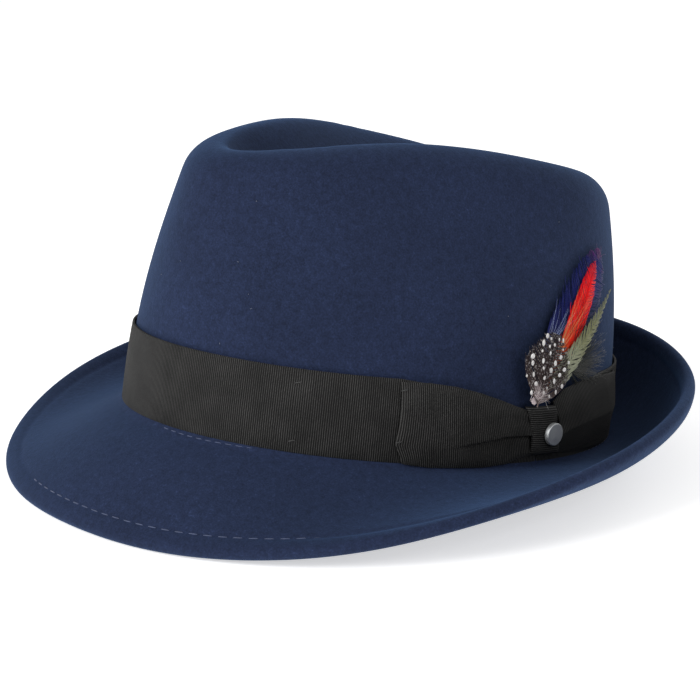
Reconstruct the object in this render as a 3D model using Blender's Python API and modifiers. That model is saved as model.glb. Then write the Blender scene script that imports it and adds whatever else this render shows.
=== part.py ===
"""Felt trilby: a blocked felt body with a folded brim edge, a grosgrain band
with a flat side bow, a plain stud, a small plume and a leather sweatband.

The hat is modelled as it is worn, with its front towards -Y, its left side
towards +X and the brim's break at height zero. An empty then leans it back
until it rests on its front brim edge and on the back of its brim.
"""
import math

import bmesh
import bpy
import numpy as np
from mathutils import Matrix, Vector

# Felt body, in metres
HEAD_WIDTH = 0.1680
HEAD_LENGTH = 0.2014
CROWN_HEIGHT = 0.1097
CROWN_LEAN = 0.0240
SHOULDER_HEIGHT = 0.0133
SHOULDER_INSET = 0.0150
DENT_DEPTH = 0.0280
DENT_FRONT = 0.0650
DENT_BACK = 0.0480
BRIM_WIDTH = 0.0530
BREAK_RISE = 0.0004
FELT = 0.0026
WELT_WIDTH = 0.0075

# Band, sweatband and the gap between pieces that touch
BAND_HEIGHT = 0.0300
BAND_THICKNESS = 0.0010
SWEATBAND_HEIGHT = 0.0320
SWEATBAND_THICKNESS = 0.0010
GAP = 0.0003

# Bow on the left side, measured along the wall from the front
KNOT_DISTANCE = 0.1520
KNOT_WIDTH = 0.0155
KNOT_HEIGHT = 0.0180
KNOT_THICKNESS = 0.0037
KNOT_LEAN = 0.0040
FRONT_LOOP_LENGTH = 0.0520
REAR_LOOP_LENGTH = 0.0500
LOOP_THICKNESS = 0.0024
PLEAT_DEPTH = 0.0008
STUD_DIAMETER = 0.0082
STUD_THICKNESS = 0.0018
STUD_BEHIND_KNOT_CENTRE = 0.0020
STUD_BELOW_KNOT_CENTRE = 0.0010

# Plume, standing up and back from the top of the knot
PLUME_BEFORE_KNOT = 0.0040
PLUME_BEARING = math.radians(38)
FEATHER_EDGE = 0.0004
FEATHER_RIB = 0.0008
QUILL_HALF_WIDTH = 0.0005
BLUE_LENGTH = 0.0675
BLUE_HALF_WIDTH = 0.0120
RED_LENGTH = 0.0600
RED_HALF_WIDTH = 0.0058
OLIVE_LENGTH = 0.0580
OLIVE_HALF_WIDTH = 0.0055
OLIVE_TURN = math.radians(13)
SPOTTED_LENGTH = 0.0262
SPOTTED_HALF_WIDTH = 0.0125
SPOTTED_TURN = math.radians(-19)

# Shape of the wall and how finely it is drawn
WALL_BELLY = 2.2
DENT_STEEPNESS = 0.75
STEPS_AROUND = 56
RIM_STEPS = 4

# One row each 22.5 degrees from the front, round the left side, to the back.
# Height, lean, shoulder, dent and brim are shares of their named sizes; root
# and edge are the brim's slopes in degrees and curl says how late it turns up.
SECTION_COLUMNS = ("height", "lean", "shoulder", "dent", "brim", "root", "edge", "curl")
SECTIONS = (
    (0.915, 0.22, 0.92, 0.50, 0.990, -27, -54, 1.45),
    (0.945, 0.50, 0.99, 0.78, 0.995, -29, -44, 1.45),
    (0.980, 0.87, 0.95, 0.95, 0.965, -32, -13, 1.45),
    (1.000, 0.99, 0.89, 1.00, 0.930, -25, 23, 1.35),
    (0.995, 0.84, 0.83, 1.00, 0.910, -15, 63, 1.55),
    (0.965, 0.52, 0.77, 0.95, 0.880, -2, 79, 1.25),
    (0.925, 0.39, 0.78, 0.86, 0.850, 8, 93, 1.15),
    (0.870, 0.38, 0.79, 0.77, 0.850, 17, 97, 0.92),
    (0.855, 0.38, 0.80, 0.71, 0.850, 21, 96, 0.82),
)

# Rows of the felt's sections, from the dent's floor out to the brim's edge, as
# shares of each stretch, or degrees of roll on the shoulder
DENT_ROWS = (1.0, 0.86, 0.70, 0.54, 0.38, 0.24, 0.12)
SHOULDER_ROWS = (90, 72, 54, 36, 18, 0)
WALL_ROWS = (0.86, 0.72, 0.58, 0.44, 0.30, 0.14, 0.0)
BRIM_ROWS = (0.10, 0.25, 0.40, 0.56, 0.72, 0.84)
BRIM_STEPS = 40
ANGLE_STEPS = 721

# Bow loops from the outer fold to the knot: how far along, the lower and
# upper edge as shares of the band's height, thickness and pleat as shares
LOOP_COLUMNS = ("along", "low", "high", "thickness", "pleat")
FRONT_LOOP = (
    (0.00, 0.03, 0.97, 0.62, 0.0),
    (0.03, 0.02, 0.98, 0.80, 0.0),
    (0.20, 0.01, 0.98, 0.84, 0.0),
    (0.40, 0.01, 0.95, 0.90, 0.1),
    (0.60, 0.01, 0.89, 0.96, 0.6),
    (0.78, 0.04, 0.79, 1.00, 1.0),
    (1.00, 0.12, 0.68, 0.92, 1.0),
)
REAR_LOOP = (
    (0.00, 0.05, 0.97, 0.62, 0.0),
    (0.04, 0.04, 0.99, 0.80, 0.0),
    (0.30, 0.06, 1.00, 0.88, 0.4),
    (0.65, 0.08, 0.99, 0.98, 0.9),
    (0.88, 0.09, 0.92, 1.00, 1.0),
    (1.00, 0.11, 0.76, 0.92, 1.0),
)
PLEAT_PLACE = 0.40
PLEAT_HALF_WIDTH = 0.04

# Section of a loop, up its front: share of its height, share of its thickness
LOOP_FACE = (
    (0.00, 0.35), (0.05, 0.80), (0.20, 1.00), (PLEAT_PLACE - PLEAT_HALF_WIDTH, 1.00),
    (PLEAT_PLACE, 1.00), (PLEAT_PLACE + PLEAT_HALF_WIDTH, 1.00),
    (0.80, 1.00), (0.95, 0.80), (1.00, 0.35), (1.00, 0.00), (0.50, 0.00), (0.00, 0.00),
)

# Section of the knot: share of its half width, share of its thickness; and its
# levels: share of its height from the middle, share of the section's thickness
KNOT_FACE = (
    (-1.00, 0.0), (-1.00, 0.53), (-0.90, 0.83), (-0.60, 0.96), (0.00, 1.0),
    (0.60, 0.96), (0.90, 0.83), (1.00, 0.53), (1.00, 0.0), (0.00, 0.0),
)
KNOT_LEVELS = (
    (-0.50, 0.45), (-0.46, 0.80), (-0.36, 1.0), (0.0, 1.0),
    (0.36, 1.0), (0.46, 0.80), (0.50, 0.45),
)

# The band is drawn in under the bow: distance along the wall from the knot's
# middle as a share of the front loop, and height as a share of the band's
BAND_DIP = (
    (-1.15, 1.00), (-0.80, 0.94), (-0.55, 0.83), (-0.37, 0.71), (-0.15, 0.58), (0.00, 0.55),
    (0.15, 0.62), (0.27, 0.82), (0.48, 0.93), (0.85, 1.00),
)

# Feather outlines from quill to tip: how far along, then the forward and the
# rear edge as shares of the half width
FEATHER_COLUMNS = ("along", "forward", "rear")
BLUE_OUTLINE = (
    (0.00, 0.00, 0.00),
    (0.08, 0.14, 0.10),
    (0.22, 0.90, 0.50),
    (0.38, 0.99, 0.80),
    (0.55, 0.94, 0.90),
    (0.72, 0.86, 0.92),
    (0.86, 0.64, 0.85),
    (0.95, 0.32, 0.60),
    (1.00, 0.00, 0.16),
)
RED_OUTLINE = (
    (0.00, 0.00, 0.00),
    (0.20, 0.30, 0.34),
    (0.40, 0.55, 0.70),
    (0.62, 0.70, 1.00),
    (0.82, 0.62, 1.00),
    (0.94, 0.40, 0.60),
    (1.00, 0.00, 0.04),
)
OLIVE_OUTLINE = (
    (0.00, 0.00, 0.00),
    (0.12, 0.24, 0.30),
    (0.27, 0.60, 0.76),
    (0.42, 0.80, 0.50),
    (0.57, 0.80, 0.56),
    (0.75, 0.66, 0.76),
    (0.90, 0.40, 0.46),
    (1.00, 0.00, 0.00),
)
SPOTTED_OUTLINE = (
    (0.00, 0.00, 0.00),
    (0.12, 0.46, 0.42),
    (0.32, 0.90, 0.85),
    (0.55, 1.00, 1.00),
    (0.78, 0.86, 0.90),
    (0.93, 0.52, 0.56),
    (1.00, 0.18, 0.22),
)

# Sizes worked out from the ones above
WELT = 2 * FELT
BAND_FACE = GAP + BAND_THICKNESS
TRIM_BACK = BAND_FACE + GAP
KNOT_CENTRE_HEIGHT = 0.42 * BAND_HEIGHT
KNOT_TOP = KNOT_CENTRE_HEIGHT + KNOT_HEIGHT / 2
PLUME_FOOT = KNOT_TOP + GAP + QUILL_HALF_WIDTH
LAYER_STEP = FEATHER_RIB + GAP
UPPER_LAYERS = max(2 * LAYER_STEP, LOOP_THICKNESS + GAP)


def column(name, degrees, table=SECTIONS, columns=SECTION_COLUMNS):
    """A section column at any angle round the head, as a smooth closed curve."""
    index = columns.index(name)
    values = np.array([row[index] for row in table], float)
    last = len(values) - 1
    folded = np.abs((np.asarray(degrees, float) + 180) % 360 - 180)
    place = folded / 180 * last
    low = np.minimum(place.astype(int), last - 1)
    part = place - low
    padded = np.concatenate([[values[1]], values, [values[-2]]])
    before, first, second, after = (padded[low + k] for k in range(4))
    slope = (second - before) * part
    bend = (2 * before - 5 * first + 4 * second - after) * part ** 2
    twist = (3 * first - before - 3 * second + after) * part ** 3
    return 0.5 * (2 * first + slope + bend + twist)


def plan(degrees):
    """Points on the head's oval at the break, and the ways straight out from it."""
    turn = np.radians(degrees)
    across, along = HEAD_WIDTH / 2, HEAD_LENGTH / 2
    points = np.stack([across * np.sin(turn), -along * np.cos(turn)], -1)
    outward = np.stack([np.sin(turn) / across, -np.cos(turn) / along], -1)
    return points, outward / np.linalg.norm(outward, axis=-1, keepdims=True)


def section_point(degrees, outward, height):
    """A point so far out from the head's oval, at a height."""
    points, way = plan(degrees)
    flat = points + way * np.asarray(outward)[..., None]
    return np.concatenate([flat, np.broadcast_to(height, flat.shape[:-1])[..., None]], -1)


def break_height(degrees):
    """The break is a little higher at the front and back than at the sides."""
    return BREAK_RISE * np.cos(2 * np.radians(degrees))


def wall_point(degrees, height, offset=0.0):
    """A point on the crown's side wall, at a height above the break."""
    tall = column("height", degrees) * CROWN_HEIGHT - SHOULDER_HEIGHT
    share = np.clip(height / tall, 0, None)
    lean = column("lean", degrees) * CROWN_LEAN * share ** WALL_BELLY
    level = height + break_height(degrees) * (1 - share)
    return section_point(degrees, offset - lean, level)


def shoulder_point(degrees, roll):
    """A point on the round edge between the wall and the top, at an angle of roll."""
    lean = column("lean", degrees) * CROWN_LEAN
    tall = column("height", degrees) * CROWN_HEIGHT - SHOULDER_HEIGHT
    inset = column("shoulder", degrees) * SHOULDER_INSET * (1 - np.cos(roll))
    run_on = lean * WALL_BELLY / tall * SHOULDER_HEIGHT * np.sin(roll) / 2
    return section_point(degrees, -lean - inset - run_on, tall + SHOULDER_HEIGHT * np.sin(roll))


def dent_point(degrees, share):
    """A point on the dented top, from the ridge to the dent's floor line."""
    ridge = shoulder_point(degrees, math.pi / 2)
    folded = np.abs((np.asarray(degrees, float) + 180) % 360 - 180) / 180
    floor_y = -DENT_FRONT + (DENT_FRONT + DENT_BACK) * folded
    floor = np.stack([np.zeros_like(floor_y), floor_y], -1)
    flat = ridge[..., :2] * (1 - share) + floor * share
    fall = (1 - math.cos(math.pi * share ** DENT_STEEPNESS)) / 2
    level = ridge[..., 2] - column("dent", degrees) * DENT_DEPTH * fall
    return np.concatenate([flat, level[..., None]], -1)


def brim_rows(degrees, shares, steps=BRIM_STEPS):
    """Points on the brim's upper side at shares of its width, by adding up its slope."""
    width = column("brim", degrees) * BRIM_WIDTH - WELT / 2
    root = np.radians(column("root", degrees))
    edge = np.radians(column("edge", degrees))
    curl = column("curl", degrees)
    middle = (np.arange(steps) + 0.5) / steps
    slope = root + (edge - root) * middle[:, None] ** curl
    start = np.zeros((1,) + width.shape)
    out = np.concatenate([start, np.cumsum(np.cos(slope), 0)]) * width / steps
    rise = np.concatenate([start, np.cumsum(np.sin(slope), 0)]) * width / steps
    rows = []
    for share in shares:
        low = min(int(share * steps), steps - 1)
        part = share * steps - low
        reach = out[low] * (1 - part) + out[low + 1] * part
        level = rise[low] * (1 - part) + rise[low + 1] * part
        rows.append(section_point(degrees, reach, level + break_height(degrees)))
    return rows


def surface_normals(rows):
    """Unit normals of rings whose first one is folded flat into the dent's floor line."""
    down = np.gradient(rows, axis=0)[1:]
    around = (np.roll(rows, -1, axis=1) - np.roll(rows, 1, axis=1))[1:]
    normals = np.cross(down, around)
    normals = np.concatenate([normals[:1] * (0, 1, 1), normals])
    return normals / np.linalg.norm(normals, axis=2, keepdims=True)


def felt_rings():
    """Rings of the felt body: over the outside, round the rim and back inside."""
    around = np.arange(STEPS_AROUND) * 360 / STEPS_AROUND
    welt_start = 1 - WELT_WIDTH / BRIM_WIDTH
    brim_shares = [share * welt_start / BRIM_ROWS[-1] for share in BRIM_ROWS]
    brim_shares += [welt_start + (1 - welt_start) / 2, 1.0]
    outside = [dent_point(around, share) for share in DENT_ROWS]
    outside += [shoulder_point(around, math.radians(roll)) for roll in SHOULDER_ROWS]
    tall = column("height", around) * CROWN_HEIGHT - SHOULDER_HEIGHT
    outside += [wall_point(around, share * tall) for share in WALL_ROWS]
    outside += brim_rows(around, brim_shares)
    outside = np.array(outside)
    normals = surface_normals(outside)

    edge = outside[-1]
    under_edge = edge - normals[-1] * WELT
    centre = (edge + under_edge) / 2
    onward = outside[-1] - outside[-2]
    onward /= np.linalg.norm(onward, axis=1, keepdims=True)
    rim = []
    for step in range(1, RIM_STEPS):
        turn = math.pi * step / RIM_STEPS
        rim.append(centre + (edge - centre) * math.cos(turn) + onward * math.sin(turn) * WELT / 2)

    fold = len(outside) - 3
    under = [under_edge, outside[fold] - normals[fold] * WELT]
    top_rows = len(DENT_ROWS) + len(SHOULDER_ROWS)
    wall_end = top_rows + len(WALL_ROWS) - 1
    inner_rows = list(range(fold, wall_end, -2)) + list(range(wall_end, top_rows, -1))
    inner_rows += list(range(top_rows, 0, -2)) + [0]
    inside = [outside[row] - normals[row] * FELT for row in inner_rows]
    return list(outside) + rim + under + inside


def wall_distances():
    """Angles round the left side, and how far along the break each one is."""
    degrees = np.linspace(0, 180, ANGLE_STEPS)
    points, _ = plan(degrees)
    steps = np.linalg.norm(np.diff(points, axis=0), axis=1)
    return degrees, np.concatenate([[0], np.cumsum(steps)])


DEGREES, DISTANCES = wall_distances()


def side_point(distance, height, offset):
    """A point on the left side wall, so far round from the front, and out from it."""
    degrees = np.interp(distance, DISTANCES, DEGREES)
    return wall_point(degrees, np.asarray(height, float), offset)


def make_material(name, colour, roughness, metallic=0.0):
    material = bpy.data.materials.new(name)
    material.use_nodes = True
    shader = material.node_tree.nodes["Principled BSDF"]
    shader.inputs["Base Color"].default_value = (*colour, 1)
    shader.inputs["Roughness"].default_value = roughness
    shader.inputs["Metallic"].default_value = metallic
    return material


def finish_object(name, mesh, colour, roughness, metallic=0.0):
    """Puts a mesh in the hat as a smooth-shaded object with its own material."""
    mesh.materials.append(make_material(name, colour, roughness, metallic))
    mesh.shade_smooth()
    mesh.set_sharp_from_angle(angle=math.radians(35))
    piece = bpy.data.objects.new(name, mesh)
    piece.parent = HAT
    PARTS.objects.link(piece)
    return piece


def loft(name, rings, colour, roughness, ends="capped"):
    """A solid skinned over rings of points; its ends are capped, joined or zipped."""
    shape = bmesh.new()
    rows = [[shape.verts.new(point) for point in ring] for ring in rings]
    pairs = list(zip(rows, rows[1:]))
    if ends == "joined":
        pairs.append((rows[-1], rows[0]))
    for first, second in pairs:
        for index in range(len(first)):
            after = (index + 1) % len(first)
            shape.faces.new((first[index], first[after], second[after], second[index]))
    if ends == "capped":
        shape.faces.new(rows[0][::-1])
        shape.faces.new(rows[-1])
    if ends == "zipped":
        bmesh.ops.remove_doubles(shape, verts=shape.verts, dist=1e-6)
    bmesh.ops.recalc_face_normals(shape, faces=shape.faces)
    mesh = bpy.data.meshes.new(name)
    shape.to_mesh(mesh)
    shape.free()
    return finish_object(name, mesh, colour, roughness)


def band(name, low, high, inner, outer, colour, roughness):
    """A strip all round the wall, between two heights and two offsets from the felt."""
    around = np.arange(STEPS_AROUND) * 360 / STEPS_AROUND
    shares = np.linspace(0, 1, 4)
    rings = [wall_point(around, low + (high - low) * share, outer) for share in shares]
    rings += [wall_point(around, low + (high - low) * share, inner) for share in shares[::-1]]
    return loft(name, rings, colour, roughness, ends="joined")


def band_top(degrees):
    """Height of the band's upper edge, which dips under the bow on the left side."""
    places, shares = np.array(BAND_DIP).T
    distance = np.interp(degrees, DEGREES, DISTANCES)
    share = np.interp((distance - KNOT_DISTANCE) / FRONT_LOOP_LENGTH, places, shares)
    return BAND_HEIGHT * np.where(degrees <= DEGREES[-1], share, 1.0)


def ribbon_band():
    """The band stands on the brim's root, higher where the brim rises from it."""
    around = np.arange(STEPS_AROUND) * 360 / STEPS_AROUND
    low = GAP + root_rise(around, BAND_FACE)
    return band("ribbon_band", low, band_top(around), GAP, BAND_FACE, (0.026, 0.026, 0.029), 0.75)


def root_rise(degrees, outward):
    """How far the brim's root rises above the break, this far out; none where it falls."""
    return outward * np.tan(np.radians(np.maximum(column("root", degrees), 0)))


def brim_clearance(distance):
    """The lowest that a bow piece may hang over the brim's root."""
    degrees = np.interp(distance, DISTANCES, DEGREES)
    fall = np.tan(np.radians(np.minimum(column("root", degrees), 0)))
    return GAP + root_rise(degrees, TRIM_BACK + LOOP_THICKNESS) + TRIM_BACK * fall


def sweatband():
    """A leather band inside the head opening, against the felt."""
    outer = -FELT - GAP
    inner = outer - SWEATBAND_THICKNESS
    return band("sweatband", 0.0, SWEATBAND_HEIGHT, inner, outer, (0.030, 0.022, 0.018), 0.55)


def loop_section(distance, row):
    """One section of a bow loop, from its lower edge over the front and back down."""
    low, high = row["low"] * BAND_HEIGHT, row["high"] * BAND_HEIGHT
    low += brim_clearance(distance(low))
    thick = row["thickness"] * LOOP_THICKNESS
    dip = row["pleat"] * PLEAT_DEPTH
    points = []
    for share, proud in LOOP_FACE:
        height = low + (high - low) * share
        outward = proud * thick - (dip if share == PLEAT_PLACE else 0)
        points.append(side_point(distance(height), height, TRIM_BACK + outward))
    return points


def bow_loop(name, table, side, length, colour):
    """A flat loop that runs from its outer fold to the side of the knot."""
    rings = []
    for values in table:
        row = dict(zip(LOOP_COLUMNS, values))
        outer_end = KNOT_DISTANCE + side * (KNOT_WIDTH / 2 + GAP + length)

        def distance(height, along=row["along"], outer_end=outer_end):
            lean = (KNOT_CENTRE_HEIGHT - height) / KNOT_HEIGHT * KNOT_LEAN
            knot_side = KNOT_DISTANCE + side * (KNOT_WIDTH / 2 + GAP) + lean
            return outer_end + (knot_side - outer_end) * along

        rings.append(loop_section(distance, row))
    return loft(name, rings, colour, 0.75)


def bow_knot():
    """The short wrap over the middle of the bow, leaning a little forwards at the top."""
    rings = []
    for level, thickness in KNOT_LEVELS:
        height = KNOT_CENTRE_HEIGHT + level * KNOT_HEIGHT
        centre = KNOT_DISTANCE - level * KNOT_LEAN
        proudest = thickness * KNOT_THICKNESS
        rings.append([
            side_point(centre + side * KNOT_WIDTH / 2, height, TRIM_BACK + proud * proudest)
            for side, proud in KNOT_FACE
        ])
    return loft("bow_knot", rings, (0.022, 0.022, 0.024), 0.75)


def stud_pin():
    """A plain round metal stud on the knot, turned to face straight out from the wall."""
    face = TRIM_BACK + KNOT_THICKNESS + GAP
    distance = KNOT_DISTANCE + STUD_BEHIND_KNOT_CENTRE
    height = KNOT_CENTRE_HEIGHT - STUD_BELOW_KNOT_CENTRE
    seat = Vector(side_point(distance, height, face))
    outward = (Vector(side_point(distance, height, face + STUD_THICKNESS)) - seat).normalized()
    shape = bmesh.new()
    bmesh.ops.create_cone(shape, cap_ends=True, segments=32, radius1=STUD_DIAMETER / 2,
                          radius2=STUD_DIAMETER / 2, depth=STUD_THICKNESS)
    centre = seat + outward * STUD_THICKNESS / 2
    place = Matrix.Translation(centre) @ outward.to_track_quat("Z", "Y").to_matrix().to_4x4()
    mesh = bpy.data.meshes.new("stud_pin")
    shape.to_mesh(mesh)
    shape.free()
    stud = finish_object("stud_pin", mesh, (0.62, 0.63, 0.64), 0.35, 1.0)
    stud.matrix_local = place
    edge = stud.modifiers.new("edge", "BEVEL")
    edge.width = STUD_THICKNESS * 0.3
    edge.segments = 3
    edge.limit_method = "ANGLE"
    return stud


def feather(name, outline, length, half_width, turn, lift, colour):
    """A thin blade with a raised rib, lifted over what lies under it on the wall."""
    back = TRIM_BACK + lift
    spread = half_width - QUILL_HALF_WIDTH
    bearing = PLUME_BEARING + turn
    along_way = np.array([math.sin(bearing), math.cos(bearing)])
    rear_way = np.array([math.cos(bearing), -math.sin(bearing)])
    foot = np.array([KNOT_DISTANCE - PLUME_BEFORE_KNOT, PLUME_FOOT])
    rings = []
    for values in outline:
        row = dict(zip(FEATHER_COLUMNS, values))
        line = foot + along_way * row["along"] * length
        front = line - rear_way * (QUILL_HALF_WIDTH + row["forward"] * spread)
        behind = line + rear_way * (QUILL_HALF_WIDTH + row["rear"] * spread)
        rib = FEATHER_RIB if row["along"] < 1 else FEATHER_EDGE
        outer = (
            (front, FEATHER_EDGE), ((front + line) / 2, (FEATHER_EDGE + rib) / 2), (line, rib),
            ((behind + line) / 2, (FEATHER_EDGE + rib) / 2), (behind, FEATHER_EDGE),
        )
        inner = ((behind, 0.0), (line, 0.0), (front, 0.0))
        rings.append([side_point(*place, back + proud) for place, proud in outer + inner])
    return loft(name, rings, colour, 0.6)


def settle(points):
    """The lean that lets the front and the back of the hat touch the floor together."""
    def heights(lean):
        return -points[:, 1] * math.sin(lean) + points[:, 2] * math.cos(lean)

    low, high = 0.0, math.radians(30)
    front = points[:, 1] < 0
    for _ in range(40):
        lean = (low + high) / 2
        level = heights(lean)
        if level[front].min() < level[~front].min():
            low = lean
        else:
            high = lean
    return lean, heights(lean).min()


def rest_on_floor(body):
    """Leans the hat back, and puts the middle of its box over the origin."""
    points = np.array([vertex.co for vertex in body.data.vertices])
    lean, lowest = settle(points)
    depth = points[:, 1] * math.cos(lean) + points[:, 2] * math.sin(lean)
    HAT.rotation_euler = (-lean, 0, 0)
    HAT.location = (0, -(depth.min() + depth.max()) / 2, -lowest)


for old in list(bpy.data.objects):
    bpy.data.objects.remove(old)
PARTS = bpy.data.collections.new("trilby")
bpy.context.scene.collection.children.link(PARTS)
HAT = bpy.data.objects.new("hat", None)
PARTS.objects.link(HAT)

felt_body = loft("felt_body", felt_rings(), (0.022, 0.030, 0.065), 0.95, ends="zipped")
ribbon_band()
sweatband()
bow_loop("bow_front_loop", FRONT_LOOP, -1, FRONT_LOOP_LENGTH, (0.024, 0.024, 0.026))
bow_loop("bow_rear_loop", REAR_LOOP, 1, REAR_LOOP_LENGTH, (0.024, 0.024, 0.026))
bow_knot()
stud_pin()
feather("feather_blue", BLUE_OUTLINE, BLUE_LENGTH, BLUE_HALF_WIDTH, 0.0, 0.0, (0.03, 0.05, 0.30))
feather("feather_red", RED_OUTLINE, RED_LENGTH, RED_HALF_WIDTH, 0.0, LAYER_STEP, (0.55, 0.03, 0.05))
feather("feather_olive", OLIVE_OUTLINE, OLIVE_LENGTH, OLIVE_HALF_WIDTH, OLIVE_TURN, UPPER_LAYERS,
        (0.16, 0.15, 0.09))
feather("feather_spotted", SPOTTED_OUTLINE, SPOTTED_LENGTH, SPOTTED_HALF_WIDTH, SPOTTED_TURN,
        UPPER_LAYERS + LAYER_STEP, (0.05, 0.04, 0.035))
rest_on_floor(felt_body)
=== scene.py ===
"""Dresses a felt trilby: napped felt with stitched edges, grosgrain band and
bow, sweatband, stud and plume, on a plain pale floor."""
import math
from contextlib import contextmanager

import bpy
import numpy as np
from bpy.props import FloatProperty, FloatVectorProperty, IntProperty, PointerProperty
from mathutils import Matrix, Vector
from mathutils.bvhtree import BVHTree
from mathutils.kdtree import KDTree


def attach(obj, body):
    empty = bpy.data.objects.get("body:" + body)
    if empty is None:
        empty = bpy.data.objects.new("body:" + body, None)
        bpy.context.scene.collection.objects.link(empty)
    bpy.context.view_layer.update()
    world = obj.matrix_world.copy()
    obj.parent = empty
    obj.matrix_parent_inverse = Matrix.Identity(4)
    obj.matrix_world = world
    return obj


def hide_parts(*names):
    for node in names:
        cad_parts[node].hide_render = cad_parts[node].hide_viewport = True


bl_info = {
    "name": "Felt trilby",
    "version": (1, 0, 0),
    "blender": (4, 5, 0),
    "location": "3D View > Sidebar > Trilby",
    "description": "Dresses a felt trilby with its band, bow, stud and plume",
    "category": "Object",
}

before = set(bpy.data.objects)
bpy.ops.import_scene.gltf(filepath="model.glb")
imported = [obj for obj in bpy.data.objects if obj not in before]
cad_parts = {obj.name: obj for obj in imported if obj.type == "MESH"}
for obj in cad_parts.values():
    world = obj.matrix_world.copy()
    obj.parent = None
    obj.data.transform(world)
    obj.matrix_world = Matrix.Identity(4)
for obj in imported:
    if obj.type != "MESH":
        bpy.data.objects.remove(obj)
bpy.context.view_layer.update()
MM = 0.001

# The hat's own frame has its brim break at height zero and its front towards
# -Y; it rests leaning back on its front brim edge and the back of its brim
REST_LEAN = math.radians(8.17)
REST_PLACE = (0.0, 7.517 * MM, 14.592 * MM)
REST = Matrix.Translation(REST_PLACE) @ Matrix.Rotation(-REST_LEAN, 4, "X")

# Felt body
HEAD_WIDTH = 168.0 * MM
HEAD_LENGTH = 201.4 * MM
CROWN_HEIGHT = 109.7 * MM
CROWN_LEAN = 24.0 * MM
SHOULDER_HEIGHT = 13.3 * MM
BRIM_WIDTH = 53.0 * MM
BREAK_RISE = 0.4 * MM
FELT = 2.6 * MM
WELT_WIDTH = 7.5 * MM
WALL_BELLY = 2.2

# One row each 22.5 degrees from the front, round the left side, to the back
SECTION_COLUMNS = ("height", "lean", "brim", "root", "edge", "curl")
SECTIONS = (
    (0.915, 0.22, 0.990, -27, -54, 1.45),
    (0.945, 0.50, 0.995, -29, -44, 1.45),
    (0.980, 0.87, 0.965, -32, -13, 1.45),
    (1.000, 0.99, 0.930, -25, 23, 1.35),
    (0.995, 0.84, 0.910, -15, 63, 1.55),
    (0.965, 0.52, 0.880, -2, 79, 1.25),
    (0.925, 0.39, 0.850, 8, 93, 1.15),
    (0.870, 0.38, 0.850, 17, 97, 0.92),
    (0.855, 0.38, 0.850, 21, 96, 0.82),
)

# Band, sweatband, bow and stud, measured along the left wall from the front
BAND_HEIGHT = 30.0 * MM
BAND_THICKNESS = 1.0 * MM
SWEATBAND_HEIGHT = 32.0 * MM
SWEATBAND_THICKNESS = 1.0 * MM
GAP = 0.3 * MM
TRIM_BACK = BAND_THICKNESS + 2 * GAP
KNOT_DISTANCE = 152.0 * MM
KNOT_WIDTH = 15.5 * MM
KNOT_HEIGHT = 18.0 * MM
KNOT_THICKNESS = 3.7 * MM
KNOT_LEAN = 4.0 * MM
KNOT_MIDDLE = 0.42 * BAND_HEIGHT
FRONT_LOOP_LENGTH = 52.0 * MM
REAR_LOOP_LENGTH = 50.0 * MM
LOOP_THICKNESS = 2.4 * MM
STUD_RADIUS = 4.1 * MM
STUD_THICKNESS = 1.8 * MM
STUD_DISTANCE = KNOT_DISTANCE + 2.0 * MM
STUD_HEIGHT = KNOT_MIDDLE - 1.0 * MM

# Edges of the loops from their outer fold to the knot, in shares of the
# band's height: how far along, lower edge and upper edge
FRONT_LOOP = ((0.0, 0.03, 0.97), (0.2, 0.00, 0.98), (0.4, 0.00, 0.95), (0.6, 0.00, 0.88),
              (0.78, 0.03, 0.79), (0.9, 0.09, 0.72), (1.0, 0.12, 0.67))
REAR_LOOP = ((0.0, 0.05, 0.97), (0.3, 0.06, 1.00), (0.65, 0.08, 0.99), (0.88, 0.09, 0.90),
             (1.0, 0.11, 0.76))

# The band is drawn in under the bow: distance from the knot's middle as a
# share of the front loop, and height as a share of the band's
BAND_DIP = ((-1.15, 1.00), (-0.80, 0.93), (-0.55, 0.82), (-0.37, 0.71), (-0.15, 0.56), (0.00, 0.53),
            (0.15, 0.60), (0.27, 0.80), (0.48, 0.93), (0.85, 1.00))

# Plume, fanned back and up from the top of the knot
PLUME_FOOT = (KNOT_DISTANCE - 4.0 * MM, KNOT_MIDDLE + KNOT_HEIGHT / 2 + 0.8 * MM)
PLUME_BEARING = math.radians(38)
RED_TURN = math.radians(-2)
OLIVE_TURN = math.radians(13)
SPOTTED_TURN = math.radians(-19)
OLIVE_SHIFT = (-2.0 * MM, 1.5 * MM)
SPOTTED_SHIFT = (-3.4 * MM, -0.5 * MM)
SPOTTED_LENGTH = 27.5 * MM
SPOTTED_HALF_WIDTH = 11.8 * MM
LAYER_STEP = 1.1 * MM
UPPER_LAYERS = 2.7 * MM
SPOT_LAYER = UPPER_LAYERS + LAYER_STEP
SPOT_ROWS = 7
SPOTS_PER_ROW = 6
PLUME_SEED = 11
BARB_KNOTS = 6
HAIR_KNOTS = 10

# Seams and lint
EDGE_SEAM = 0.76 * WELT_WIDTH
SEAM_DEPTH = 0.45 * MM
SEAM_REACH = 1.3 * MM
SEAM_END = 4.0 * MM
LINE_STEPS = 721
LINT_SEED = 5
LINT_COUNT = 24

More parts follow.
